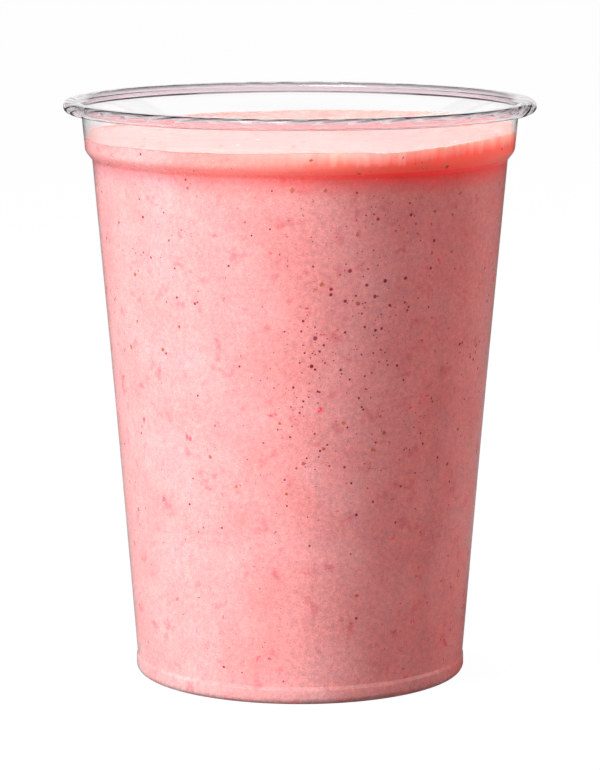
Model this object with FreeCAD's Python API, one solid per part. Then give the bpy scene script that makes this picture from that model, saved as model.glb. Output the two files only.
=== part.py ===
"""A thick fruit milkshake in a clear thermoformed plastic cup. Millimetres, +Z up.

The origin is the centre of the foot ring, on the surface that the cup stands on. The cup is one thin
sheet turned about Z: a raised floor inside a foot ring, a tapered body, a shoulder, a wider collar and
a lip rolled outwards. The drink is one solid that fills it up to an uneven, slightly sloping top.
"""

import FreeCAD, Part
import math
import os

# Cup: overall
RIM_DIAMETER = 95.0  # over the rolled lip
CUP_HEIGHT = 116.7
FOOT_DIAMETER = 67.1  # over the foot band
WALL = 0.45  # thickness of the sheet

# Cup: lip, rolled outwards and under
LIP_HEIGHT = 2.35
LIP_OVERHANG = 3.4  # from the lip's edge in to the outside of the collar
LIP_INNER_ROUND = 1.5  # where the inside of the collar turns into the lip
LIP_OUTER_ROUND = 1.15
LIP_TURN_UNDER = 2.4  # from the lip's edge in to where the roll turns up
LIP_TURN_UP = 1.3  # from the underside up to the end of the roll
LIP_END_ROUND = 0.6

# Cup: collar, the wider band under the lip
COLLAR_DEPTH = 11.65  # from the top of the lip down to the foot of the shoulder
COLLAR_DRAFT = 0.9  # how much the collar narrows on its way down
SHOULDER_STEP = 1.4  # from the collar in to the top of the body
SHOULDER_RISE = 1.75  # height of the sloping shoulder
SHOULDER_ROUND = 1.9
SHOULDER_FOOT_ROUND = 0.75

# Cup: body and foot
BODY_BOW = 0.2  # how far the middle of the body is drawn in from one straight taper
FOOT_BAND_HEIGHT = 2.9  # the upright band at the bottom of the body
FOOT_BAND_STEP = 0.2  # how far the band stands proud of the body
FOOT_BAND_RISE = 0.35  # height over which the step runs out
FOOT_BAND_ROUND = 0.12
FOOT_ROUND = 1.35  # outside round of the foot ring's two edges
FOOT_RING_WIDTH = 3.2  # from the outside of the band in to the side of the recess
RECESS_DEPTH = 2.6  # how far the floor is raised above the surface
RECESS_FLARE = 1.2  # how much the recess narrows on its way up
FLOOR_ROUND = 0.9  # where the recess turns into the floor, on the drink side

# Drink
HEADROOM = 6.3  # from the top of the lip down to the middle of the drink's top
RISE_RIGHT = 0.8  # how much higher the top is at the +X wall than in the middle
RISE_BACK = 0.4  # how much higher it is at the +Y wall
SWELL_HEIGHT = 0.22  # of the shallow swells in the top
SWELL_LENGTH = 52.0  # from crest to crest
TOP_POINTS = 13  # rows and columns of points that carry the top

ROUND_SHARE = 0.49  # the most of a straight run that the round at one end of it takes up


def rounded_outline(corners):
    """Edges in the XZ plane through (radius, height, round) corners, each round being a tangent arc."""
    points = [FreeCAD.Vector(radius, 0, height) for radius, height, _ in corners]
    edges = []
    start = points[0]
    for before, corner, after, (_, _, size) in zip(points, points[1:], points[2:], corners[1:]):
        into = (corner - before).normalize()
        out = (after - corner).normalize()
        half_turn = into.getAngle(out) / 2
        shorter_run = min((corner - before).Length, (after - corner).Length)
        setback = min(size * math.tan(half_turn), ROUND_SHARE * shorter_run)
        arc_start = corner - into * setback
        arc_end = corner + out * setback
        edges.append(Part.makeLine(start, arc_start))
        if setback > 0:
            inward = (out - into).normalize()
            arc_middle = corner + inward * setback * math.tan(half_turn / 2)
            edges.append(Part.Arc(arc_start, arc_middle, arc_end).toShape())
        start = arc_end
    edges.append(Part.makeLine(start, points[-1]))
    return edges


def collar_top_radius():
    return RIM_DIAMETER / 2 - LIP_OVERHANG - WALL


def inside_corners():
    """The drink's side of the sheet, from the middle of the floor to the top of the collar."""
    foot = FOOT_DIAMETER / 2 - WALL
    recess = FOOT_DIAMETER / 2 - FOOT_RING_WIDTH + WALL
    floor_level = RECESS_DEPTH + WALL
    body_bottom = foot - FOOT_BAND_STEP
    body_bottom_level = FOOT_BAND_HEIGHT + FOOT_BAND_RISE
    collar_bottom = collar_top_radius() - COLLAR_DRAFT
    body_top = collar_bottom - SHOULDER_STEP
    body_top_level = CUP_HEIGHT - COLLAR_DEPTH
    waist = (body_bottom + body_top) / 2 - BODY_BOW
    waist_level = (body_bottom_level + body_top_level) / 2
    inner_foot_round = FOOT_ROUND - WALL
    return [
        (0.0, floor_level, 0.0),
        (recess - RECESS_FLARE, floor_level, FLOOR_ROUND),
        (recess, WALL, inner_foot_round),
        (foot, WALL, inner_foot_round),
        (foot, FOOT_BAND_HEIGHT, FOOT_BAND_ROUND),
        (body_bottom, body_bottom_level, FOOT_BAND_ROUND),
        (waist, waist_level, 0.0),
        (body_top, body_top_level, SHOULDER_FOOT_ROUND),
        (collar_bottom, body_top_level + SHOULDER_RISE, SHOULDER_ROUND),
        (collar_top_radius(), CUP_HEIGHT, LIP_INNER_ROUND),
    ]


def lip_corners():
    """The outer side of the rolled lip, from its top edge to the end of the roll."""
    rim = RIM_DIAMETER / 2
    underside = CUP_HEIGHT - LIP_HEIGHT
    roll_end = rim - LIP_TURN_UNDER
    return [
        (rim, CUP_HEIGHT, LIP_OUTER_ROUND),
        (rim, underside, LIP_OUTER_ROUND),
        (roll_end, underside, LIP_END_ROUND),
        (roll_end, underside + LIP_TURN_UP, 0.0),
    ]


def revolved(face):
    return face.revolve(FreeCAD.Vector(0, 0, 0), FreeCAD.Vector(0, 0, 1), 360)


def make_cup():
    """The sheet, thickened away from the drink by one wall."""
    drink_side = Part.Wire(rounded_outline(inside_corners() + lip_corners()))
    return revolved(drink_side.makeOffset2D(-WALL, fill=True, openResult=True))


def top_height(x, y):
    """Level of the drink's top at a point: a slope that rises to +X and +Y, with shallow swells on it."""
    slope = (RISE_RIGHT * x + RISE_BACK * y) / collar_top_radius()
    turn = 2 * math.pi / SWELL_LENGTH
    swell = SWELL_HEIGHT * math.sin(turn * x + 0.8) * math.cos(turn * y - 0.5)
    return CUP_HEIGHT - HEADROOM + slope + swell


def make_air():
    """The space above the drink's top, as one block wider than the cup."""
    reach = RIM_DIAMETER / 2
    steps = [reach * (2 * i / (TOP_POINTS - 1) - 1) for i in range(TOP_POINTS)]
    surface = Part.BSplineSurface()
    surface.interpolate([[FreeCAD.Vector(x, y, top_height(x, y)) for y in steps] for x in steps])
    return surface.toShape().extrude(FreeCAD.Vector(0, 0, COLLAR_DEPTH + HEADROOM))


def make_milkshake():
    """All that the cup holds, up to the drink's top."""
    side = rounded_outline(inside_corners())
    axis_top = FreeCAD.Vector(0, 0, CUP_HEIGHT)
    axis_bottom = side[0].Vertexes[0].Point
    side.append(Part.makeLine(side[-1].Vertexes[-1].Point, axis_top))
    side.append(Part.makeLine(axis_top, axis_bottom))
    return revolved(Part.Face(Part.Wire(side))).cut(make_air())


def main():
    os.makedirs("parts", exist_ok=True)
    nodes = {"cup": make_cup(), "milkshake": make_milkshake()}
    for name, shape in nodes.items():
        solid = shape if shape.ShapeType == "Solid" else shape.Solids[0]
        solid.exportStep(f"parts/{name}.step")
        print(name, solid.isValid(), f"{solid.Volume / 1000:.2f} ml", solid.BoundBox)


main()
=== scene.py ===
"""The looks of a fruit milkshake in a clear plastic cup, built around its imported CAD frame.

Sizes of the cup and the drink are in millimetres, as in the CAD. Blender is given metres, +Z up.
"""

import math
import random

import bpy
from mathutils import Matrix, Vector, noise

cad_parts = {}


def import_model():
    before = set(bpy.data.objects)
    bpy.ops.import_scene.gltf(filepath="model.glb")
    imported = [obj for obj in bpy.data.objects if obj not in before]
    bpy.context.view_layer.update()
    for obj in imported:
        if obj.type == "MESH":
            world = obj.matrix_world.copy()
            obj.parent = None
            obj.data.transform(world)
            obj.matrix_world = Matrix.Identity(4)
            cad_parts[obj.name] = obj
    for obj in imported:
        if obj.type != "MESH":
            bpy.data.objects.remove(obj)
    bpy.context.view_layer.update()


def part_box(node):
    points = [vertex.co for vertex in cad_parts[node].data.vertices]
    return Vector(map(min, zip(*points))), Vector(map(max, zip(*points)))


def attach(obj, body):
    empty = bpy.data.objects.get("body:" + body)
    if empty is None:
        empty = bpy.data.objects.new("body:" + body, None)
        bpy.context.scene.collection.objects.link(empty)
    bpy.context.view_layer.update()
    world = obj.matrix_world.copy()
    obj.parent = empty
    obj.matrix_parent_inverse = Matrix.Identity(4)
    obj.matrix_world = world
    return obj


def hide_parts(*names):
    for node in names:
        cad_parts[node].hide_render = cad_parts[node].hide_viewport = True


MM = 0.001

# ---------------------------------------------------------------------------------------------
# Sizes of the cup and the drink, in millimetres. All but FOOT_BAND_RISE and FOOT_BAND_ROUND, which are
# softer here, are the CAD's.
# ---------------------------------------------------------------------------------------------
WALL = 0.45
FOOT_DIAMETER = 67.1
LIP_HEIGHT = 2.35
LIP_OVERHANG = 3.4
LIP_INNER_ROUND = 1.5
LIP_OUTER_ROUND = 1.15
LIP_TURN_UNDER = 2.4
LIP_TURN_UP = 1.3
LIP_END_ROUND = 0.6
COLLAR_DEPTH = 11.65
COLLAR_DRAFT = 0.9
SHOULDER_STEP = 1.4
SHOULDER_RISE = 1.75
SHOULDER_ROUND = 1.9
SHOULDER_FOOT_ROUND = 0.75
BODY_BOW = 0.2
FOOT_BAND_HEIGHT = 2.9
FOOT_BAND_STEP = 0.2
FOOT_BAND_RISE = 0.7
FOOT_BAND_ROUND = 0.6
FOOT_ROUND = 1.35
FOOT_RING_WIDTH = 3.2
RECESS_DEPTH = 2.6
RECESS_FLARE = 1.2
FLOOR_ROUND = 0.9
HEADROOM = 6.3
RISE_RIGHT = 0.8
RISE_BACK = 0.4
SWELL_HEIGHT = 0.22
SWELL_LENGTH = 52.0
SWELL_PHASES = (0.8, -0.5)

# ---------------------------------------------------------------------------------------------
# Faces
# ---------------------------------------------------------------------------------------------
TURNS = 432  # columns of faces round the cup's sheet
DRINK_TURNS = 288
ROW_LENGTH = 9.0  # the longest face along a straight stretch of the sheet
LIP_ROW_LENGTH = 0.36
DRINK_ROW_LENGTH = 1.2
ARC_STEP = math.radians(10)  # the widest angle of one face round a bend
SMALLEST_ROUND = 0.05
LIP_ROWS_BELOW = 0.5  # how far below the lip its close rows begin
EDGE_ROWS = 8  # rows of the drink that follow its film's edge
EDGE_ROWS_ABOVE = 0.6  # how far above the shoulder they begin
TOP_RINGS = 60
TOP_RING_CROWDING = 2.2  # how much closer the rings of the drink's top lie towards the wall
TOP_FACES_UP = 0.3  # the least rise of a face's normal, and its least level in metres, on the open top
TOP_FACES_ABOVE = 0.1

# ---------------------------------------------------------------------------------------------
# Relief of the lip and of the drink's top, in millimetres
# ---------------------------------------------------------------------------------------------
GROOVE_DEPTH = 0.042  # of the slanting grooves that the rolling tool leaves under the top of the lip
GROOVE_SHOWN = 0.05  # how much of a groove shows on the sheet's upper face
GROOVE_COUNT = 44
GROOVE_LEAN = 0.8  # how far a groove leans over along the lip, in turns of its wave per millimetre
GROOVE_NOISE = (9, 0.4)  # how close the noise in the grooves' depth is, round the lip and up it
GROOVE_SHARES = (0.2, 0.8, 1.5)  # the least, middle and greatest share of the grooves' depth
GROOVE_UNEVEN = 1.2
GROOVES_BELOW_TOP = 2.0  # how far down, and how far inside the rim, the grooves reach
GROOVES_INSIDE_RIM = 2.4
LIP_WOBBLE = (0.05, 2.2, 3.1)  # height, closeness and layer of its noise
RELIEF_FADE = 0.8  # the width over which the relief sets in

DRINK_BITE = 0.12  # how far the drink reaches into the wall
FILM_RISE = 0.3  # how far the drink creeps up the wall above its level, at the left
FILM_RISE_RIGHT = 2.3
FILM_WIDTH = 1.3
FILM_UNEVEN = ((0.8, 9, 7.3), (0.48, 24, 2.3))  # share, closeness and layer of the noise in its width
FILM_FALL = 1.4  # how blunt the film's edge is
EDGE_WAVERS = ((0.12, 5, 0.3), (0.08, 19, 5.3))  # the same of the noise in the film's edge, in height
EDGE_WAVER_REACH = 1.5  # how far in over the open top the edge's ups and downs are felt
DIP_ANGLE = math.radians(-66)  # where the film's edge hangs lowest on the wall
DIP_WIDTH = math.radians(16)
DIP_DEPTH = 0.7
LUMPS = ((0.10, 0.16, 1.7), (0.06, 0.55, 4.7))  # the same of the noise in the open top, in height
LUMPS_FROM_WALL = 3  # how far from the wall the lumps reach their full height

# ---------------------------------------------------------------------------------------------
# Colours of the drink and the plastic. Places and heights are in metres.
# ---------------------------------------------------------------------------------------------
DRINK_PINK = (0.83, 0.36, 0.36, 1)
DRINK_PALE = (0.87, 0.43, 0.435, 1)
DRINK_SMUDGE = (0.7, 0.15, 0.17, 1)
# A painted glow: warm light let through the drink by the collar, most at the right.
DRINK_PAINTED_GLOW = (0.96, 0.31, 0.24, 1)
DRINK_FILM_GLOW = (0.98, 0.95, 0.90, 1)
DRINK_TOP = (0.74, 0.34, 0.31, 1)
DRINK_TOP_SHARE = 0.75
WHITE = (1, 1, 1, 1)

NOISE_MIDDLE = (0.3, 0.7)  # the middle part of a noise, which is spread over the whole range
CLOUDS = (110, 4)  # how close the noise is, per metre, and how fine
SMUDGES = (330, 3)
SMUDGE_PEAKS = (0.60, 0.76)
SMUDGE_SHARE = 0.65
CURDS = (1100, 4)
CURD_TONES = (0.88, 1.09)
GRAIN = (3400, 2)
GRAIN_TONES = (0.84, 1.12)

DRINK_IOR = 1.36
SPREAD_SCALE = 0.0008  # metres for each unit of the two below, which say how far light spreads in the drink
DEEP_SPREAD = (4.5, 0.9, 0.8, 1)
GLOW_SPREAD = (7.5, 2.0, 1.6, 1)
EDGE_SPREAD = 0.12  # the share of that at the film's thin edge
EDGE_SPREAD_DEPTH = 1.6  # millimetres below the edge where the share is whole again

# Where the painted glow lies: between these heights, and fading in from the left across the cup.
GLOW_LEVELS = (0.1003, 0.1065)
GLOW_ACROSS = (-0.030, 0.016)
# Painted shade at the step under the collar, where it lies in its own shadow; weaker at the left than at the
# right.
SHADE_ACROSS = (-0.012, 0.02)
SHADE_AT_LEFT = 0.45
SHOULDER_PAINTED_SHADE = (  # height, and what is left of each colour there
    (0.1010, (1.0, 1.0, 1.0)),
    (0.1030, (1.0, 0.80, 0.87)),
    (0.1042, (1.0, 0.56, 0.66)),
    (0.1050, (1.0, 0.36, 0.41)),
    (0.1055, (1.0, 0.36, 0.39)),
    (0.1059, (1.0, 0.66, 0.66)),
    (0.1068, (1.0, 0.90, 0.88)),
    (0.1080, (1.0, 1.0, 1.0)),
)
# The pale film's paleness is painted light shining through the thin film, nearly all of it at the right.
FILM_GLOW_DEPTHS = (0.2, 2.6)  # millimetres below the drink's edge between which the pale film gives way
FILM_GLOW_SHARE = 0.9
FILM_GLOW_ACROSS = (-0.015, 0.015)
FILM_GLOW_AT_LEFT = 0.05
STREAKS = (620, 4)
STREAK_STRETCH = (1.0, 1.0, 0.12)
STREAK_LENGTH = 3.4

PLASTIC_TINT = (0.985, 0.985, 0.99, 1)
# A painted reflection of the pink drink, seen in and through the rolled lip.
LIP_PAINTED_REFLECTION = (0.94, 0.88, 0.905, 1)
LIP_LEVELS = (0.1138, 0.1148)

# ---------------------------------------------------------------------------------------------
# Specks in the drink, in millimetres
# ---------------------------------------------------------------------------------------------
SEED = 11  # of all that is drawn at random
SPECK_MARGIN = 1.5  # how far specks stay above the foot band and below the drink's level
SPECK_SINK = 0.01  # how far a speck's rim lies under the drink's face
WALL_SLOPE_REACH = 0.4  # how far up and down the wall its slope is read

# Where bubbles crowd together: azimuth in degrees, height, spread, number, largest radius.
BUBBLE_CROWDS = (
    (16, 82, 3.5, 14, 0.50),
    (-4, 71, 5.0, 20, 0.52),
    (11, 72, 7.0, 42, 0.32),
    (-4, 52, 5.5, 20, 0.36),
    (26, 95, 6.0, 26, 0.38),
    (28, 78, 7.0, 34, 0.42),
    (6, 58, 8.0, 30, 0.30),
    (36, 52, 8.0, 26, 0.36),
    (24, 64, 9.0, 30, 0.30),
    (10, 92, 8.0, 24, 0.28),
)
BACK_CROWDS = 11
BACK_CROWD_AZIMUTHS = (65, 320)
BACK_CROWD_LEVELS = (35, 98)
BACK_CROWD_SPREADS = (4, 8)
BACK_CROWD_COUNTS = (10, 26)
BACK_CROWD_LARGEST = 0.4
SMALLEST_IN_CROWD = 0.13
LARGE_IN_CROWD = 2.2  # how rare large bubbles are there
STRAY_BUBBLES = 420
STRAY_SIZES = (0.10, 0.34, 3)  # the smallest and largest radius, and how rare large ones are
FINEST_BUBBLES = 1500
FINEST_SIZES = (0.06, 0.12)
TOP_BUBBLES = 520
TOP_BUBBLE_SIZES = (0.12, 0.62, 4)
TOP_BUBBLE_MARGIN = 1.2
TOP_BUBBLE_RING = 1.6  # how wide the ring is that they form by the wall
TOP_BUBBLE_RING_SHARE = 0.55
TOP_BUBBLE_CLUSTERS = (1.0, 2, 8.1)  # size, closeness and layer of the noise added to that share
TOP_BUBBLE_HEIGHT = 0.45  # of a radius
FLECK_GROUPS = 300
FLECK_SIZES = (0.16, 0.58, 2.5)
FLECKS_IN_GROUP = (1, 4)
FLECK_SCATTER = 0.8  # of a group's size
FLECK_SHARES = (0.6, 1.2)
FLECK_STRETCHES = (1, 1.8)
# Seeds that stand out at the front: azimuth in degrees and height.
FRONT_SEEDS = ((2.8, 108.6), (-37, 75), (-6, 57), (1, 49), (7, 52), (13, 57), (-44, 70), (30, 41), (-20, 44))
OTHER_SEEDS = 64
SEED_SIZES = (0.26, 0.4)
SEED_STRETCHES = (1.2, 1.6)
SEED_LIFT = 0.02
STAIN_SIZE = 1.3  # of the seed in it
STAIN_STRETCH = 1.2
# Painted highlights: pale dots for glints on the finest foam.
GLINTS = 2600
GLINT_SIZES = (0.07, 0.13)

# ---------------------------------------------------------------------------------------------
# Camera, stage, world and lamps, in metres
# ---------------------------------------------------------------------------------------------
CAMERA_PLACE = (0, -0.7317, 0.1766)
CAMERA_PITCH = 0.16  # radians below level
CAMERA_LENS = 170.4
CAMERA_SENSOR = 36
CAMERA_CLIP = 0.01

STAGE_HALF_WIDTH = 3.0
STAGE_FRONT = -2.2
STAGE_BACK = 1.6
STAGE_BEND = 0.8
STAGE_BEND_STEPS = 12
STAGE_HEIGHT = 2.6
STAGE_ROUGHNESS = 0.9
STAGE_GLOW = 0.975
STAGE_SEEN = (0.03, 0.03, 0.03, 1)
STAGE_BOUNCE = (0.15, 0.15, 0.15, 1)
CARD_TOP = 0.4  # the white that plastic and gloss show ends here
CARD_FADE = 0.3
CARD_HALF_WIDTH = 0.35
CARD_FOOT = (0.03, 0.08)

WORLD_LIGHT = 0.02
HORIZON_BAND = (0.1, 0.2, 1.0, 0.2)  # sines of elevation between which the band fades, and its share at each
SKY_SEEN = 0.35  # how bright clear plastic shows what is above the card

BODY = (0, 0, 0.06)  # what the lamps are aimed at
MOUTH = (0, 0, 0.11)
FOOT = (0, 0, 0.006)
COOL = (0.74, 1.0, 1.0)
PLAIN = (1.0, 1.0, 1.0)
MILD = (1.0, 0.94, 0.93)
WARM = (1.0, 0.72, 0.69)
RED = (1.0, 0.30, 0.28)
PINK = (1.0, 0.75, 0.72)
# Name, azimuth (0 is the camera's side and 90 the right) and elevation in degrees, distance, target, width,
# height, watts, colour, and whether gloss shows it. The low ones stand for light that a white floor throws
# up on the foot.
LAMPS = (
    ("key", -56, 12, 0.9, BODY, 0.5, 0.6, 11.2, COOL, False),
    ("high_front", -30, 60, 0.8, MOUTH, 0.35, 0.35, 3.6, MILD, True),
    ("high_left", -60, 60, 0.7, MOUTH, 0.3, 0.3, 4.4, PLAIN, False),
    ("high_back", -150, 50, 0.7, MOUTH, 0.3, 0.3, 4.6, PLAIN, False),
    ("rim", 108, 14, 0.9, BODY, 0.3, 0.6, 5.9, WARM, False),
    ("fill", 45, 12, 1.0, BODY, 0.4, 0.8, 3.2, RED, False),
    ("low_left", -25, 0, 0.095, FOOT, 0.05, 0.01, 0.006, PINK, False),
    ("low_front", 15, 0, 0.095, FOOT, 0.05, 0.01, 0.006, PINK, False),
    ("low_right", 55, 0, 0.095, FOOT, 0.05, 0.01, 0.006, PINK, False),
)


def clamp(value, low, high):
    return min(max(value, low), high)


def link(name, data):
    holder = bpy.data.objects.new(name, data)
    bpy.context.scene.collection.objects.link(holder)
    return holder


# ---------------------------------------------------------------------------------------------
# Outlines: (radius, height, round) corners
# ---------------------------------------------------------------------------------------------
def drink_side_corners(rim, height):
    """The face of the sheet that meets the drink, from the middle of the floor to the end of the roll."""
    foot = FOOT_DIAMETER / 2 - WALL
    recess = FOOT_DIAMETER / 2 - FOOT_RING_WIDTH + WALL
    floor_level = RECESS_DEPTH + WALL
    body_bottom = foot - FOOT_BAND_STEP
    body_bottom_level = FOOT_BAND_HEIGHT + FOOT_BAND_RISE
    collar_top = rim - LIP_OVERHANG - WALL
    collar_bottom = collar_top - COLLAR_DRAFT
    body_top = collar_bottom - SHOULDER_STEP
    body_top_level = height - COLLAR_DEPTH
    waist = (body_bottom + body_top) / 2 - BODY_BOW
    waist_level = (body_bottom_level + body_top_level) / 2
    # An arc that spreads the waist's bend over the middle half of the body.
    waist_round = (body_top_level - body_bottom_level) ** 2 / (16 * BODY_BOW)
    return [
        (0.0, floor_level, 0.0),
        (recess - RECESS_FLARE, floor_level, FLOOR_ROUND),
        (recess, WALL, FOOT_ROUND - WALL),
        (foot, WALL, FOOT_ROUND - WALL),
        (foot, FOOT_BAND_HEIGHT, FOOT_BAND_ROUND),
        (body_bottom, body_bottom_level, FOOT_BAND_ROUND),
        (waist, waist_level, waist_round),
        (body_top, body_top_level, SHOULDER_FOOT_ROUND),
        (collar_bottom, body_top_level + SHOULDER_RISE, SHOULDER_ROUND),
        (collar_top, height, LIP_INNER_ROUND),
        (rim, height, LIP_OUTER_ROUND),
        (rim, height - LIP_HEIGHT, LIP_OUTER_ROUND),
        (rim - LIP_TURN_UNDER, height - LIP_HEIGHT, LIP_END_ROUND),
        (rim - LIP_TURN_UNDER, height - LIP_HEIGHT + LIP_TURN_UP, 0.0),
    ]


def offset_corners(corners, distance):
    """The outline moved to its right by a distance, with each round grown or shrunk to match."""
    points = [Vector((radius, height)) for radius, height, _ in corners]
    runs = [(after - before).normalized() for before, after in zip(points, points[1:])]
    sides = [Vector((run.y, -run.x)) for run in runs]
    moved = [points[0] + sides[0] * distance]
    sizes = [0.0]
    for i in range(1, len(points) - 1):
        before, after = sides[i - 1], sides[i]
        moved.append(points[i] + (before + after) * (distance / (1 + before.dot(after))))
        turns_left = runs[i - 1].cross(runs[i]) > 0
        size = corners[i][2]
        sizes.append(max(size + distance if turns_left else size - distance, SMALLEST_ROUND))
    moved.append(points[-1] + sides[-1] * distance)
    sizes.append(0.0)
    return [(point.x, point.y, size) for point, size in zip(moved, sizes)]


def outline_points(corners, row_length):
    """Points along the outline, at most a row's length apart."""
    points = [Vector((radius, height)) for radius, height, _ in corners]
    path = [points[0]]

    def go_to(target):
        start = path[-1]
        steps = max(1, math.ceil((target - start).length / row_length))
        path.extend(start.lerp(target, (i + 1) / steps) for i in range(steps))

    for i in range(1, len(points) - 1):
        into = points[i] - points[i - 1]
        out = points[i + 1] - points[i]
        shorter_run = min(into.length, out.length)
        into.normalize()
        out.normalize()
        turn = into.angle(out)
        setback = min(corners[i][2] * math.tan(turn / 2), 0.49 * shorter_run)
        go_to(points[i] - into * setback)
        radius = setback / math.tan(turn / 2)
        length = radius * turn
        steps = max(2, math.ceil(turn / ARC_STEP), math.ceil(length / row_length))
        inward = Vector((-into.y, into.x))
        if into.cross(out) < 0:
            inward = -inward
        centre = points[i] - into * setback + inward * radius
        for step in range(1, steps + 1):
            along = turn * step / steps
            path.append(centre - inward * radius * math.cos(along) + into * radius * math.sin(along))
    go_to(points[-1])
    return path


def outline_sides(points):
    """Unit vectors at right angles to the outline, to its right, one for each point."""
    sides = []
    for i in range(len(points)):
        run = (points[min(i + 1, len(points) - 1)] - points[max(i - 1, 0)]).normalized()
        sides.append(Vector((run.y, -run.x)))
    return sides


# ---------------------------------------------------------------------------------------------
# Turned meshes
# ---------------------------------------------------------------------------------------------
def lathe(name, columns, closed):
    """A turned mesh from one list of (x, y, z) rows per column. A row at radius 0 is one shared point."""
    rows = len(columns[0])
    vertices = []
    index = {}
    for c, column in enumerate(columns):
        for r, (x, y, z) in enumerate(column):
            on_axis = math.hypot(x, y) < 1e-6
            key = ("axis", r) if on_axis else (c, r)
            if key not in index:
                index[key] = len(vertices)
                vertices.append((x * MM, y * MM, z * MM))
            index[(c, r)] = index[key]
    faces = []
    for c in range(len(columns)):
        d = (c + 1) % len(columns)
        for r in range(rows if closed else rows - 1):
            s = (r + 1) % rows
            corners = [index[(c, r)], index[(d, r)], index[(d, s)], index[(c, s)]]
            face = list(dict.fromkeys(corners))
            if len(face) > 2:
                faces.append(face)
    return smooth_mesh(name, vertices, faces)


def smooth_mesh(name, vertices, faces):
    mesh = bpy.data.meshes.new(name)
    mesh.from_pydata(vertices, [], faces)
    mesh.update()
    mesh.polygons.foreach_set("use_smooth", [True] * len(mesh.polygons))
    return mesh


def round_noise(angle, size, closeness, layer):
    """Noise that closes on itself round the cup."""
    return size * noise.noise(Vector((math.cos(angle) * closeness, math.sin(angle) * closeness, layer)))


def lip_relief(radius, height, angle, rim, top, grooved):
    """How far the lip stands out at a point: slanting grooves along its top, and a slow wobble all over."""
    inner = rim - LIP_OVERHANG - WALL
    share = clamp((radius - inner) / RELIEF_FADE, 0.0, 1.0)
    if share == 0.0:
        return 0.0
    crest = clamp((height - top + GROOVES_BELOW_TOP) / RELIEF_FADE, 0.0, 1.0)
    crest *= clamp((radius - rim + GROOVES_INSIDE_RIM) / RELIEF_FADE, 0.0, 1.0)
    wave = GROOVE_COUNT * angle + 2 * math.pi * GROOVE_LEAN * (radius - inner + top - height)
    # The grooves are deeper in some stretches than in others.
    least, middle, greatest = GROOVE_SHARES
    closeness, closeness_up = GROOVE_NOISE
    uneven = round_noise(angle, GROOVE_UNEVEN, closeness, height * closeness_up)
    depth = GROOVE_DEPTH * clamp(middle + uneven, least, greatest)
    return share * (crest * grooved * depth * math.sin(wave) + round_noise(angle, *LIP_WOBBLE))


def make_cup_mesh(rim, height):
    """The sheet, with close rows and grooves in the lip and long rows below."""
    split = height - LIP_HEIGHT - LIP_ROWS_BELOW

    def section(corners):
        coarse = outline_points(corners, ROW_LENGTH)
        fine = outline_points(corners, LIP_ROW_LENGTH)
        lower = [p for p in coarse if p.y < split]
        # The lip is all that comes after the outline rises through the split.
        first = next(i for i, p in enumerate(fine) if p.y >= split)
        points = lower + fine[first:]
        return list(zip(points, outline_sides(points)))

    corners = drink_side_corners(rim, height)
    inside = section(corners)
    outside = section(offset_corners(corners, WALL))
    rows = [(p, side, 1.0) for p, side in outside] + [(p, side, GROOVE_SHOWN) for p, side in inside[::-1]]
    columns = []
    for c in range(TURNS):
        angle = 2 * math.pi * c / TURNS
        cos, sin = math.cos(angle), math.sin(angle)
        column = []
        for point, side, grooved in rows:
            # The lip's upper face lies to the left of its outline, so a hump on it moves against the side.
            hump = -lip_relief(point.x, point.y, angle, rim, height, grooved)
            out = point.x + side.x * hump
            column.append((out * cos, out * sin, point.y + side.y * hump))
        columns.append(column)
    return lathe("cup_sheet", columns, closed=True)


# ---------------------------------------------------------------------------------------------
# The drink
# ---------------------------------------------------------------------------------------------
def drink_outline(rim, height):
    """The drink's face against the wall, a little inside the wall, from the floor up to the rim."""
    corners = offset_corners(drink_side_corners(rim, height), DRINK_BITE)
    return outline_points(corners[:-3], DRINK_ROW_LENGTH)


def radius_at(outline, level):
    """Radius of the wall at a level."""
    outside_recess = FOOT_DIAMETER / 2 - 1
    wall = [p for p in outline if p.x > outside_recess]
    for before, after in zip(wall, wall[1:]):
        if before.y <= level <= after.y and after.y > before.y:
            return before.lerp(after, (level - before.y) / (after.y - before.y)).x
    return wall[-1].x


def top_height(x, y, rim, height):
    """Level of the drink's top, as in the CAD."""
    inner = rim - LIP_OVERHANG - WALL
    slope = (RISE_RIGHT * x + RISE_BACK * y) / inner
    turn = 2 * math.pi / SWELL_LENGTH
    swell = SWELL_HEIGHT * math.sin(turn * x + SWELL_PHASES[0]) * math.cos(turn * y + SWELL_PHASES[1])
    return height - HEADROOM + slope + swell


def contact_height(angle, outline, rim, height):
    """Level at which the drink's film ends on the wall."""
    wall = radius_at(outline, height - HEADROOM)
    waver = sum(round_noise(angle, *part) for part in EDGE_WAVERS)
    from_dip = math.remainder(angle - DIP_ANGLE, 2 * math.pi) / DIP_WIDTH
    dip = DIP_DEPTH * math.exp(-from_dip * from_dip)
    return top_height(wall * math.cos(angle), wall * math.sin(angle), rim, height) + waver - dip


def film_rise_at(across):
    """How far the film stands above the drink, from the left at -1 to the right at 1."""
    return FILM_RISE + (FILM_RISE_RIGHT - FILM_RISE) * (1 + across) / 2


def drink_level(x, y, outline, rim, height):
    """Level of the drink's open top, which falls away from the film at its edge and has soft lumps."""
    wall = radius_at(outline, height - HEADROOM)
    from_wall = wall - math.hypot(x, y)
    angle = math.atan2(y, x)
    cos, sin = math.cos(angle), math.sin(angle)
    film_width = FILM_WIDTH * (1 + sum(round_noise(angle, *part) for part in FILM_UNEVEN))
    lift = film_rise_at(cos) * math.exp(-((from_wall / film_width) ** FILM_FALL)) - film_rise_at(x / wall)
    lumps = sum(rise * noise.noise(Vector((x * close, y * close, layer))) for rise, close, layer in LUMPS)
    lumps *= min(1.0, from_wall / LUMPS_FROM_WALL)
    lifted = contact_height(angle, outline, rim, height) - top_height(wall * cos, wall * sin, rim, height)
    return top_height(x, y, rim, height) + lift + lumps + math.exp(-from_wall / EDGE_WAVER_REACH) * lifted


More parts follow.
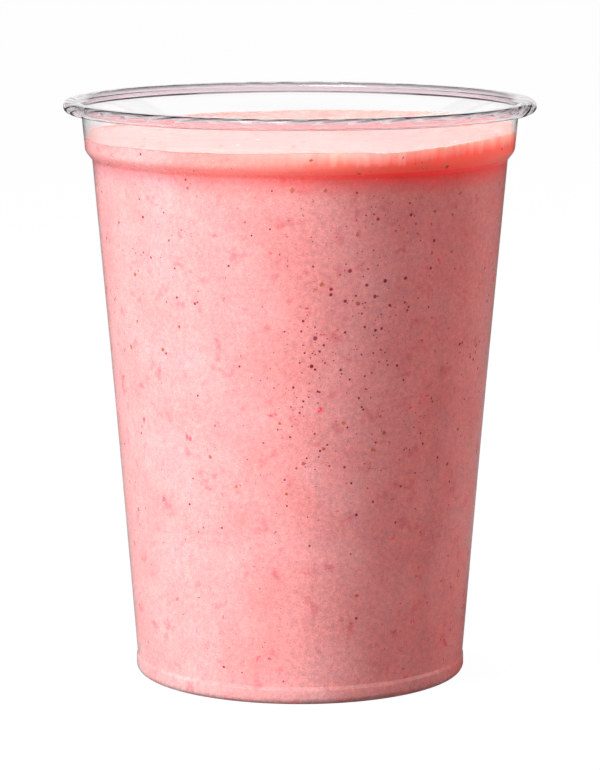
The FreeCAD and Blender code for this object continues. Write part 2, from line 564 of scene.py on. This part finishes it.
def make_drink_mesh(rim, height):
    """The drink: its side reaches a little into the wall, and its top creeps up the wall in a film.

    Its depth attribute says how many millimetres a point lies below the film's edge or, if that is more,
    inside it on the open top."""
    side = drink_outline(rim, height)
    collar_start = height - COLLAR_DEPTH + SHOULDER_RISE + EDGE_ROWS_ABOVE
    rows_below = [p for p in side if p.y < collar_start]
    start = rows_below[-1].y
    wall = radius_at(side, height - HEADROOM)
    columns = []
    for c in range(DRINK_TURNS):
        angle = 2 * math.pi * c / DRINK_TURNS
        cos, sin = math.cos(angle), math.sin(angle)
        column = [(p.x * cos, p.x * sin, p.y) for p in rows_below]
        contact = contact_height(angle, side, rim, height)
        for r in range(1, EDGE_ROWS + 1):
            level = start + (contact - start) * r / EDGE_ROWS
            radius = radius_at(side, level)
            column.append((radius * cos, radius * sin, level))
        for r in range(1, TOP_RINGS + 1):
            radius = wall * (1 - (r / TOP_RINGS) ** TOP_RING_CROWDING)
            x, y = radius * cos, radius * sin
            column.append((x, y, drink_level(x, y, side, rim, height)))
        columns.append(column)
    mesh = lathe("milkshake_body", columns, closed=False)
    depths = []
    for vertex in mesh.vertices:
        x, y, z = vertex.co / MM
        below = contact_height(math.atan2(y, x), side, rim, height) - z
        depths.append(max(below, wall - math.hypot(x, y)) if z > collar_start else below)
    mesh.attributes.new("depth", "FLOAT", "POINT").data.foreach_set("value", depths)
    mesh.materials.append(side_material())
    mesh.materials.append(top_material())
    for face in mesh.polygons:
        face.material_index = int(face.normal.z > TOP_FACES_UP and face.center.z > TOP_FACES_ABOVE)
    return mesh


# ---------------------------------------------------------------------------------------------
# Specks that lie in the drink against the wall
# ---------------------------------------------------------------------------------------------
class Specks:
    """Many small lens-shaped specks joined in one mesh. Each fades towards its edge by the value "core"."""

    RINGS = ((0.0, 1.0, 1.0), (0.35, 0.9, 0.9), (0.7, 0.5, 0.5), (1.0, 0.0, 0.0))  # radius, height, core

    def __init__(self, random_source):
        self.random = random_source
        self.vertices = []
        self.faces = []
        self.core = []
        self.tone = []

    def add(self, centre, out, size, stretch=1.0, turn=0.0, rough=0.0, height=0.06, segments=10):
        """A speck of a given radius on a surface point, long by stretch, turned, and uneven by rough."""
        up = Vector((0, 0, 1)) if abs(out.z) < 0.9 else Vector((0, 1, 0))
        across = up.cross(out).normalized()
        along = out.cross(across)
        u = across * math.cos(turn) + along * math.sin(turn)
        v = out.cross(u)
        phases = [self.random.uniform(0, 2 * math.pi) for _ in range(3)]
        turns = [2 * math.pi * step / segments for step in range(segments)]
        waves = [sum(math.cos((k + 2) * t + phase) for k, phase in enumerate(phases)) for t in turns]
        edge = [1 + rough * wave / 2 for wave in waves]
        tone = self.random.random()
        first = len(self.vertices)
        for share, rise, core in self.RINGS:
            for step in range(segments if share else 1):
                reach = size * share * edge[step]
                offset = u * (math.cos(turns[step]) * reach * stretch) + v * (math.sin(turns[step]) * reach)
                self.vertices.append((centre + offset + out * (height * rise - SPECK_SINK)) * MM)
                self.core.append(core)
                self.tone.append(tone)
        for step in range(segments):
            after = (step + 1) % segments
            self.faces.append((first, first + 1 + step, first + 1 + after))
            for ring in range(len(self.RINGS) - 2):
                low = first + 1 + ring * segments
                high = low + segments
                self.faces.append((low + step, high + step, high + after, low + after))

    def mesh(self, name):
        mesh = smooth_mesh(name, self.vertices, self.faces)
        for key, values in (("core", self.core), ("tone", self.tone)):
            mesh.attributes.new(key, "FLOAT", "POINT").data.foreach_set("value", values)
        return mesh


class Wall:
    """Finds points of the drink's face against the wall, and draws places on it at random."""

    def __init__(self, rim, height, random_source):
        self.outline = drink_outline(rim, height)
        self.rim, self.height = rim, height
        self.lowest = FOOT_BAND_HEIGHT + SPECK_MARGIN
        self.highest = height - HEADROOM - SPECK_MARGIN
        self.random = random_source

    def point(self, azimuth, level):
        """Point and outward direction at an azimuth in degrees, 0 being the front and 90 the right."""
        angle = math.radians(azimuth - 90)
        radius = radius_at(self.outline, level)
        above = radius_at(self.outline, level + WALL_SLOPE_REACH)
        below = radius_at(self.outline, level - WALL_SLOPE_REACH)
        slope = (above - below) / (2 * WALL_SLOPE_REACH)
        out = Vector((math.cos(angle), math.sin(angle), -slope)).normalized()
        return Vector((radius * math.cos(angle), radius * math.sin(angle), level)), out

    def anywhere(self):
        return self.random.uniform(-180, 180), self.random.uniform(self.lowest, self.highest)

    def near(self, azimuth, level, spread):
        """A place scattered round another by a spread in millimetres."""
        turn = math.degrees(spread / radius_at(self.outline, level))
        azimuth = self.random.gauss(azimuth, turn)
        return azimuth, clamp(self.random.gauss(level, spread), self.lowest, self.highest)


def uneven_size(rng, smallest, largest, rarity):
    """A size between two, of which the large ones are rarer the higher the rarity."""
    return smallest + (largest - smallest) * rng.random() ** rarity


def make_bubbles(wall, rng):
    """Bubbles against the wall as dark discs, their dark a painted shade of their hollows: the crowds, strays
    between them, and the finest all over.
    """
    specks = Specks(rng)
    crowds = list(BUBBLE_CROWDS)
    for _ in range(BACK_CROWDS):
        azimuth, level = rng.uniform(*BACK_CROWD_AZIMUTHS), rng.uniform(*BACK_CROWD_LEVELS)
        spread, count = rng.uniform(*BACK_CROWD_SPREADS), rng.randint(*BACK_CROWD_COUNTS)
        crowds.append((azimuth, level, spread, count, BACK_CROWD_LARGEST))
    for azimuth, level, spread, count, largest in crowds:
        for _ in range(count):
            place, out = wall.point(*wall.near(azimuth, level, spread))
            specks.add(place, out, uneven_size(rng, SMALLEST_IN_CROWD, largest, LARGE_IN_CROWD), rough=0.05)
    for _ in range(STRAY_BUBBLES):
        place, out = wall.point(*wall.anywhere())
        specks.add(place, out, uneven_size(rng, *STRAY_SIZES), rough=0.06, segments=8)
    for _ in range(FINEST_BUBBLES):
        place, out = wall.point(*wall.anywhere())
        specks.add(place, out, rng.uniform(*FINEST_SIZES), rough=0.1, segments=6)
    return specks.mesh("bubbles")


def make_top_bubbles(wall, rng):
    """Small bubbles that stand on the drink, most of them round its edge."""
    specks = Specks(rng)
    reach = radius_at(wall.outline, wall.height - HEADROOM) - TOP_BUBBLE_MARGIN
    for _ in range(TOP_BUBBLES):
        angle = rng.uniform(0, 2 * math.pi)
        if rng.random() < TOP_BUBBLE_RING_SHARE + round_noise(angle, *TOP_BUBBLE_CLUSTERS):
            radius = reach - abs(rng.gauss(0, TOP_BUBBLE_RING))
        else:
            radius = reach * math.sqrt(rng.random())
        x, y = radius * math.cos(angle), radius * math.sin(angle)
        place = Vector((x, y, drink_level(x, y, wall.outline, wall.rim, wall.height)))
        size = uneven_size(rng, *TOP_BUBBLE_SIZES)
        specks.add(place, Vector((0, 0, 1)), size, rough=0.05, height=size * TOP_BUBBLE_HEIGHT)
    return specks.mesh("top_bubbles")


def make_flecks(wall, rng):
    """Soft shreds of fruit, each a few smudges that run together."""
    specks = Specks(rng)
    for _ in range(FLECK_GROUPS):
        azimuth, level = wall.anywhere()
        size = uneven_size(rng, *FLECK_SIZES)
        turn = rng.uniform(0, math.pi)
        for _ in range(rng.randint(*FLECKS_IN_GROUP)):
            place, out = wall.point(*wall.near(azimuth, level, size * FLECK_SCATTER))
            own_size = size * rng.uniform(*FLECK_SHARES)
            stretch = rng.uniform(*FLECK_STRETCHES)
            specks.add(place, out, own_size, stretch, turn, rough=0.3, height=0.04, segments=12)
    return specks.mesh("fruit_flecks")


def make_seeds(wall, rng):
    """Seeds, each with a stain round it."""
    specks = Specks(rng)
    places = list(FRONT_SEEDS) + [wall.anywhere() for _ in range(OTHER_SEEDS)]
    for place in places:
        centre, out = wall.point(*place)
        size = rng.uniform(*SEED_SIZES)
        turn = rng.uniform(0, math.pi)
        specks.add(centre, out, size * STAIN_SIZE, STAIN_STRETCH, turn, rough=0.2, height=0.03, segments=12)
        stretch = rng.uniform(*SEED_STRETCHES)
        lifted = centre + out * SEED_LIFT
        specks.add(lifted, out, size, stretch, turn, rough=0.16, height=0.09, segments=12)
    return specks.mesh("seeds")


def make_glints(wall, rng):
    """Painted highlights: pale dots that stand for glints on the finest foam."""
    specks = Specks(rng)
    for _ in range(GLINTS):
        place, out = wall.point(*wall.anywhere())
        specks.add(place, out, rng.uniform(*GLINT_SIZES), rough=0.1, height=0.1, segments=6)
    return specks.mesh("painted_foam_glints")


# ---------------------------------------------------------------------------------------------
# Materials
# ---------------------------------------------------------------------------------------------
class Nodes:
    """Short calls for building the node tree of one material or world."""

    def __init__(self, holder):
        self.holder = holder
        holder.use_nodes = True
        self.tree = holder.node_tree
        self.tree.nodes.clear()

    def add(self, kind, **settings):
        node = self.tree.nodes.new(kind)
        for key, value in settings.items():
            setattr(node, key, value)
        return node

    def wire(self, source, target):
        self.tree.links.new(source, target)

    def math(self, operation, first, second=None):
        """A calculation with one or two values, each an output or a number."""
        node = self.add("ShaderNodeMath", operation=operation)
        for socket, value in zip(node.inputs, (first, second)):
            if isinstance(value, (int, float)):
                socket.default_value = value
            elif value is not None:
                self.wire(value, socket)
        return node.outputs["Value"]

    def ramp(self, value, start, end, low, high):
        """low up to start, high from end on, and even between them."""
        node = self.add("ShaderNodeMapRange")
        self.wire(value, node.inputs["Value"])
        for socket, number in zip(node.inputs[1:5], (start, end, low, high)):
            socket.default_value = number
        return node.outputs["Result"]

    def noise(self, place, scale, detail):
        node = self.add("ShaderNodeTexNoise")
        node.inputs["Scale"].default_value = scale
        node.inputs["Detail"].default_value = detail
        self.wire(place, node.inputs["Vector"])
        return node.outputs["Fac"]

    def place(self):
        """The point in the piece's own metres."""
        return self.add("ShaderNodeTexCoord").outputs["Object"]

    def axes(self, place):
        node = self.add("ShaderNodeSeparateXYZ")
        self.wire(place, node.inputs["Vector"])
        return node.outputs

    def attribute(self, name):
        return self.add("ShaderNodeAttribute", attribute_name=name).outputs["Fac"]

    def mix(self, share, first, second, blend_type="MIX"):
        """A blend of two colours. Each argument is an output or a constant."""
        node = self.add("ShaderNodeMix", data_type="RGBA", blend_type=blend_type)
        for key, value in (("Factor", share), ("A", first), ("B", second)):
            if isinstance(value, bpy.types.NodeSocket):
                self.wire(value, node.inputs[key])
            else:
                node.inputs[key].default_value = value
        return node.outputs["Result"]

    def multiply(self, first, second):
        return self.mix(1.0, first, second, blend_type="MULTIPLY")

    def blend(self, share, first, second):
        """A blend of two shaders."""
        node = self.add("ShaderNodeMixShader")
        for socket, source in zip(node.inputs, (share, first, second)):
            self.wire(source, socket)
        return node.outputs["Shader"]

    def output(self, shader):
        """Ends the tree in this shader, and gives what holds it."""
        kind = "World" if isinstance(self.holder, bpy.types.World) else "Material"
        self.wire(shader, self.add("ShaderNodeOutput" + kind).inputs["Surface"])
        return self.holder


def new_material(name):
    return Nodes(bpy.data.materials.new(name))


def principled(n, **values):
    shader = n.add("ShaderNodeBsdfPrincipled")
    for key, value in values.items():
        shader.inputs[key.replace("_", " ")].default_value = value
    return shader


def clear_plastic():
    n = new_material("clear_plastic")
    shader = principled(n, Roughness=0.03, IOR=1.5, Transmission_Weight=1.0)
    # The rolled lip is thicker to look through; its faint pink tint is a painted reflection of the pink drink
    # seen in it.
    lip_reflection_share = n.ramp(n.axes(n.place())["Z"], *LIP_LEVELS, 0.0, 1.0)
    n.wire(n.mix(lip_reflection_share, PLASTIC_TINT, LIP_PAINTED_REFLECTION), shader.inputs["Base Color"])
    # The sheet is thin and clear, so light passes it without a shadow.
    through = n.add("ShaderNodeBsdfTransparent")
    path = n.add("ShaderNodeLightPath")
    return n.output(n.blend(path.outputs["Is Shadow Ray"], shader.outputs["BSDF"], through.outputs["BSDF"]))


def drink_colours(n, place):
    """Slow clouds of paler and pinker drink, red smudges, curds, and fine foam grain."""
    clouds = n.ramp(n.noise(place, *CLOUDS), *NOISE_MIDDLE, 0.0, 1.0)
    base = n.mix(clouds, DRINK_PINK, DRINK_PALE)
    smudge = n.ramp(n.noise(place, *SMUDGES), *SMUDGE_PEAKS, 0.0, SMUDGE_SHARE)
    base = n.mix(smudge, base, DRINK_SMUDGE)
    base = n.multiply(base, n.ramp(n.noise(place, *CURDS), *NOISE_MIDDLE, *CURD_TONES))
    return n.multiply(base, n.ramp(n.noise(place, *GRAIN), *NOISE_MIDDLE, *GRAIN_TONES))


def thin_edge(n, spread):
    """Shortens how far light spreads where the film is thin, or the thin edge would glow."""
    share = n.ramp(n.attribute("depth"), 0.0, EDGE_SPREAD_DEPTH, EDGE_SPREAD, 1.0)
    return n.multiply(spread, share)


def shoulder_shade(n, axes):
    """Painted shade at the step under the collar, which lies in its own shadow: what is left of each colour
    there.
    """
    lowest, highest = SHOULDER_PAINTED_SHADE[0][0], SHOULDER_PAINTED_SHADE[-1][0]
    step = n.add("ShaderNodeValToRGB")
    step.color_ramp.interpolation = "EASE"
    stops = step.color_ramp.elements
    while len(stops) < len(SHOULDER_PAINTED_SHADE):
        stops.new(0.5)
    for stop, (level, colour) in zip(stops, SHOULDER_PAINTED_SHADE):
        stop.position = (level - lowest) / (highest - lowest)
        stop.color = (*colour, 1)
    n.wire(n.ramp(axes["Z"], lowest, highest, 0.0, 1.0), step.inputs["Fac"])
    share = n.ramp(axes["X"], *SHADE_ACROSS, SHADE_AT_LEFT, 1.0)
    return n.mix(share, WHITE, step.outputs["Color"])


def film_glow_share(n, place, axes):
    """How much of the pale film shows: it clings to the wall at the drink's edge and runs down in streaks.
    Its paleness is painted light shining through the thin film, nearly all of it at the right.
    """
    stretched = n.add("ShaderNodeVectorMath", operation="MULTIPLY")
    n.wire(place, stretched.inputs[0])
    stretched.inputs[1].default_value = STREAK_STRETCH
    streak = n.math("SUBTRACT", n.noise(stretched.outputs["Vector"], *STREAKS), 0.5)
    streak = n.math("MULTIPLY", streak, STREAK_LENGTH)
    share = n.ramp(n.math("ADD", n.attribute("depth"), streak), *FILM_GLOW_DEPTHS, FILM_GLOW_SHARE, 0.0)
    return n.math("MULTIPLY", share, n.ramp(axes["X"], *FILM_GLOW_ACROSS, FILM_GLOW_AT_LEFT, 1.0))


def side_material():
    """Thick pink drink against the wall. It has no gloss of its own there, as the clear sheet wets it."""
    n = new_material("milkshake_side")
    shader = principled(
        n,
        IOR=DRINK_IOR,
        Roughness=0.6,
        Specular_IOR_Level=0.0,
        Subsurface_Weight=1.0,
        Subsurface_Scale=SPREAD_SCALE,
    )
    place = n.place()
    axes = n.axes(place)
    # By the collar, most at the right, warm light let through the drink is painted into its colour as a
    # red-orange glow, and light spreads further in it there.
    right = n.ramp(axes["X"], *GLOW_ACROSS, 0.0, 1.0)
    painted_glow = n.math("MULTIPLY", n.ramp(axes["Z"], *GLOW_LEVELS, 0.0, 1.0), right)
    # Painted shade under the collar darkens the colours and shortens how far light spreads.
    shade = shoulder_shade(n, axes)
    film_glow = film_glow_share(n, place, axes)
    base = n.multiply(n.mix(painted_glow, drink_colours(n, place), DRINK_PAINTED_GLOW), shade)
    # Painted light: the pale film at the drink's edge, lit through.
    n.wire(n.mix(film_glow, base, DRINK_FILM_GLOW), shader.inputs["Base Color"])
    unfilmed = n.math("MULTIPLY", painted_glow, n.math("SUBTRACT", 1.0, film_glow))
    spread = n.multiply(n.mix(unfilmed, DEEP_SPREAD, GLOW_SPREAD), shade)
    n.wire(thin_edge(n, spread), shader.inputs["Subsurface Radius"])
    return n.output(shader.outputs["BSDF"])


def top_material():
    """The drink's open surface: paler foam with a wet gloss."""
    n = new_material("milkshake_top")
    shader = principled(n, IOR=DRINK_IOR, Roughness=0.2, Subsurface_Weight=1.0, Subsurface_Scale=SPREAD_SCALE)
    n.wire(thin_edge(n, DEEP_SPREAD), shader.inputs["Subsurface Radius"])
    base = n.mix(DRINK_TOP_SHARE, drink_colours(n, n.place()), DRINK_TOP)
    n.wire(base, shader.inputs["Base Color"])
    return n.output(shader.outputs["BSDF"])


def speck_material(name, dark, light, strength, full):
    """Colour by each speck's own tone, fading out towards its edge from where its core is full."""
    n = new_material(name)
    shader = principled(n, Roughness=0.5, Specular_IOR_Level=0.0)
    n.wire(n.mix(n.attribute("tone"), (*dark, 1), (*light, 1)), shader.inputs["Base Color"])
    n.wire(n.ramp(n.attribute("core"), 0.0, full, 0.0, strength), shader.inputs["Alpha"])
    return n.output(shader.outputs["BSDF"])


def stage_material():
    """A white stage. Clear plastic shows it white up to the height of a low card and grey above that, gloss
    shows a narrow strip of the card, and the light that it throws onto the object is that of a dark grey."""
    n = new_material("pale_stage")
    seen = principled(
        n,
        Base_Color=STAGE_SEEN,
        Roughness=STAGE_ROUGHNESS,
        Specular_IOR_Level=0.0,
        Emission_Color=WHITE,
        Emission_Strength=STAGE_GLOW,
    )
    bounced = principled(n, Base_Color=STAGE_BOUNCE, Roughness=STAGE_ROUGHNESS, Specular_IOR_Level=0.0)
    axes = n.axes(n.add("ShaderNodeNewGeometry").outputs["Position"])
    card = n.ramp(axes["Z"], CARD_TOP, CARD_TOP + CARD_FADE, 1.0, SKY_SEEN)
    from_middle = n.math("ABSOLUTE", axes["X"])
    narrow = n.ramp(from_middle, CARD_HALF_WIDTH, CARD_HALF_WIDTH + CARD_FADE, 1.0, 0.0)
    upright = n.ramp(axes["Z"], *CARD_FOOT, 0.0, 1.0)
    strip = n.math("MULTIPLY", n.math("MULTIPLY", card, narrow), upright)
    white = shown_share(n, card, strip)
    return n.output(n.blend(white, bounced.outputs["BSDF"], seen.outputs["BSDF"]))


def shown_share(n, to_plastic, to_gloss):
    """All of the white for the camera, the two shares of it for plastic and gloss, and none for the drink."""
    path = n.add("ShaderNodeLightPath").outputs
    through = n.math("MULTIPLY", path["Is Transmission Ray"], to_plastic)
    mirrored = n.math("MULTIPLY", path["Is Glossy Ray"], to_gloss)
    direct = n.math("LESS_THAN", path["Diffuse Depth"], 0.5)
    shown = n.math("MULTIPLY", n.math("MAXIMUM", through, mirrored), direct)
    return n.math("MAXIMUM", shown, path["Is Camera Ray"])


# ---------------------------------------------------------------------------------------------
# Stage, lights and camera
# ---------------------------------------------------------------------------------------------
def make_stage():
    """A floor that curves up into a backdrop."""
    bend_start = STAGE_BACK - STAGE_BEND
    path = [(STAGE_FRONT, 0.0), (bend_start, 0.0)]
    for step in range(1, STAGE_BEND_STEPS + 1):
        turn = math.pi / 2 * step / STAGE_BEND_STEPS
        path.append((bend_start + STAGE_BEND * math.sin(turn), STAGE_BEND - STAGE_BEND * math.cos(turn)))
    path.append((STAGE_BACK, STAGE_HEIGHT))
    vertices = [(x, y, z) for y, z in path for x in (-STAGE_HALF_WIDTH, STAGE_HALF_WIDTH)]
    faces = [(2 * i, 2 * i + 1, 2 * i + 3, 2 * i + 2) for i in range(len(path) - 1)]
    mesh = smooth_mesh("floor", vertices, faces)
    mesh.materials.append(stage_material())
    link("floor", mesh)


def make_lights():
    """Soft lamps, hidden from the camera and from what shows through the plastic."""
    for name, azimuth, elevation, distance, target, width, height, power, colour, mirrored in LAMPS:
        light = bpy.data.lights.new(name, "AREA")
        light.shape = "RECTANGLE"
        light.size = width
        light.size_y = height
        light.energy = power
        light.color = colour
        lamp = link(name, light)
        turn, lift = math.radians(azimuth), math.radians(elevation)
        flat = math.cos(lift)
        direction = Vector((math.sin(turn) * flat, -math.cos(turn) * flat, math.sin(lift)))
        lamp.location = Vector(target) + direction * distance
        lamp.rotation_euler = (-direction).to_track_quat("-Z", "Y").to_euler()
        lamp.visible_glossy = mirrored
        lamp.visible_transmission = False
        lamp.visible_camera = False


def white_sky(n, strength):
    shader = n.add("ShaderNodeBackground")
    shader.inputs["Color"].default_value = WHITE
    shader.inputs["Strength"].default_value = strength
    return shader.outputs["Background"]


def make_world():
    """Nearly dark to the drink. The camera sees it white, plastic grey, and gloss with a pale horizon."""
    n = Nodes(bpy.data.worlds.new("studio"))
    axes = n.axes(n.add("ShaderNodeTexCoord").outputs["Generated"])
    white = shown_share(n, SKY_SEEN, n.ramp(axes["Z"], *HORIZON_BAND))
    bpy.context.scene.world = n.output(n.blend(white, white_sky(n, WORLD_LIGHT), white_sky(n, STAGE_GLOW)))


def make_camera():
    camera = bpy.data.cameras.new("camera")
    camera.lens = CAMERA_LENS
    camera.sensor_width = CAMERA_SENSOR
    camera.clip_start = CAMERA_CLIP
    holder = link("camera", camera)
    holder.location = CAMERA_PLACE
    holder.rotation_euler = (math.pi / 2 - CAMERA_PITCH, 0, 0)
    bpy.context.scene.camera = holder


# ---------------------------------------------------------------------------------------------
# The object
# ---------------------------------------------------------------------------------------------
# What makes each kind of speck, its material's name, darkest and lightest colour, strength, and the core
# value from which it is full.
SPECK_KINDS = (
    (make_top_bubbles, "foam_bubbles", (0.62, 0.2, 0.2), (0.95, 0.62, 0.58), 0.75, 0.5),
    # Bubbles: dark discs of painted shade in their hollows.
    (make_bubbles, "bubble_hollow_shade", (0.24, 0.01, 0.025), (0.38, 0.04, 0.07), 1.0, 0.5),
    (make_flecks, "fruit", (0.55, 0.02, 0.05), (0.78, 0.09, 0.15), 0.6, 1.0),
    (make_seeds, "seed_husk", (0.36, 0.08, 0.03), (0.66, 0.20, 0.08), 0.85, 1.0),
    # The pale dots named foam are painted highlights, glints on the finest bubbles.
    (make_glints, "foam", (0.95, 0.62, 0.6), (1.0, 0.85, 0.82), 0.9, 0.6),
)


def place_piece(mesh, node=None):
    piece = link(mesh.name, mesh)
    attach(piece, "root")
    if node:
        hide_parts(node)
    return piece


def main():
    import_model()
    low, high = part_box("cup")
    rim = (high[0] - low[0]) / 2 / MM
    height = high[2] / MM
    cup = make_cup_mesh(rim, height)
    cup.materials.append(clear_plastic())
    place_piece(cup, "cup")
    place_piece(make_drink_mesh(rim, height), "milkshake")
    rng = random.Random(SEED)
    wall = Wall(rim, height, rng)
    for make, material, dark, light, strength, full in SPECK_KINDS:
        mesh = make(wall, rng)
        mesh.materials.append(speck_material(material, dark, light, strength, full))
        # Shadows would draw a ring round each speck, and most lie in the drink, not on it.
        place_piece(mesh).visible_shadow = False
    make_stage()
    make_lights()
    make_world()
    make_camera()
    bpy.context.scene.view_settings.view_transform = "Standard"


main()
